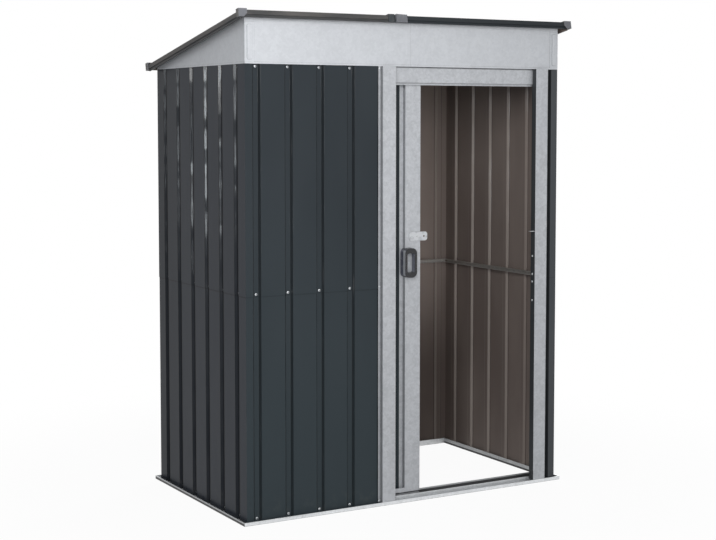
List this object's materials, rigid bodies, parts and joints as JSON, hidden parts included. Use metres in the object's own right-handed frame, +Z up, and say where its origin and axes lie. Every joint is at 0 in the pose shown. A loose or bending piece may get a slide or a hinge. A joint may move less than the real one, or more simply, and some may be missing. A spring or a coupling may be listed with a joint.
{
  "type": "metal storage shed",
  "caption": "Pent-roof storage shed of ribbed anthracite sheet metal with galvanised posts and fascia and a sliding door that stands open.",
  "frame": {"origin": "on the ground, under the middle of the whole outline", "axes": "+X to the right along the front, +Y to the back, +Z up; the doorway faces -Y"},
  "size_m": [1.472, 0.8824, 1.8629],
  "materials": {
    "anthracite_sheet": "satin anthracite coil coating",
    "galvanised_rail": "galvanised, faint spangle",
    "light_fascia": "satin light grey coating",
    "dark_trim": "satin dark grey coating",
    "grey_caps": "moulded, fine grain",
    "slider_plastic": "moulded",
    "handle_plastic": "moulded, fine grain",
    "zinc_lock": "zinc plated"
  },
  "bodies": {
    "shed": {"base_rail_front": "galvanised_rail", "base_rail_back": "galvanised_rail", "base_rail_left": "galvanised_rail", "base_rail_right": "galvanised_rail", "door_bottom_track": "galvanised_rail", "door_top_track": "galvanised_rail", "door_header": "galvanised_rail", "door_post_left": "galvanised_rail", "door_post_right": "galvanised_rail", "mid_rails": "galvanised_rail", "top_rails": "galvanised_rail", "left_wall_lower": "anthracite_sheet", "left_wall_upper": "anthracite_sheet", "right_wall_lower": "anthracite_sheet", "right_wall_upper": "anthracite_sheet", "back_wall_lower": "anthracite_sheet", "back_wall_upper": "anthracite_sheet", "front_wall_lower": "anthracite_sheet", "front_wall_upper": "anthracite_sheet", "front_corner_strip": "anthracite_sheet", "gable_left": "light_fascia", "gable_right": "light_fascia", "fascia_left": "light_fascia", "fascia_right": "light_fascia", "fascia_back": "light_fascia", "fascia_end_plates": "light_fascia", "roof_panel_left": "anthracite_sheet", "roof_panel_right": "anthracite_sheet", "roof_beam": "galvanised_rail", "roof_trim_front": "dark_trim", "roof_trim_back": "dark_trim", "roof_trim_left": "dark_trim", "roof_trim_right": "dark_trim", "roof_corner_caps": "grey_caps", "roof_joint_caps": "grey_caps", "lock_tab_plate": "zinc_lock"},
    "door": {"door_panel_lower": "anthracite_sheet", "door_panel_upper": "anthracite_sheet", "door_stile_leading": "galvanised_rail", "door_stile_trailing": "galvanised_rail", "door_cross_rails": "galvanised_rail", "door_hangers": "slider_plastic", "door_guides": "slider_plastic", "door_handle": "handle_plastic", "door_hasp": "zinc_lock"}
  },
  "joints": [
    {"name": "door_slide", "type": "slide", "parent": "shed", "child": "door", "axis": [1, 0, 0], "range_m": [0, 0.54]}
  ]
}
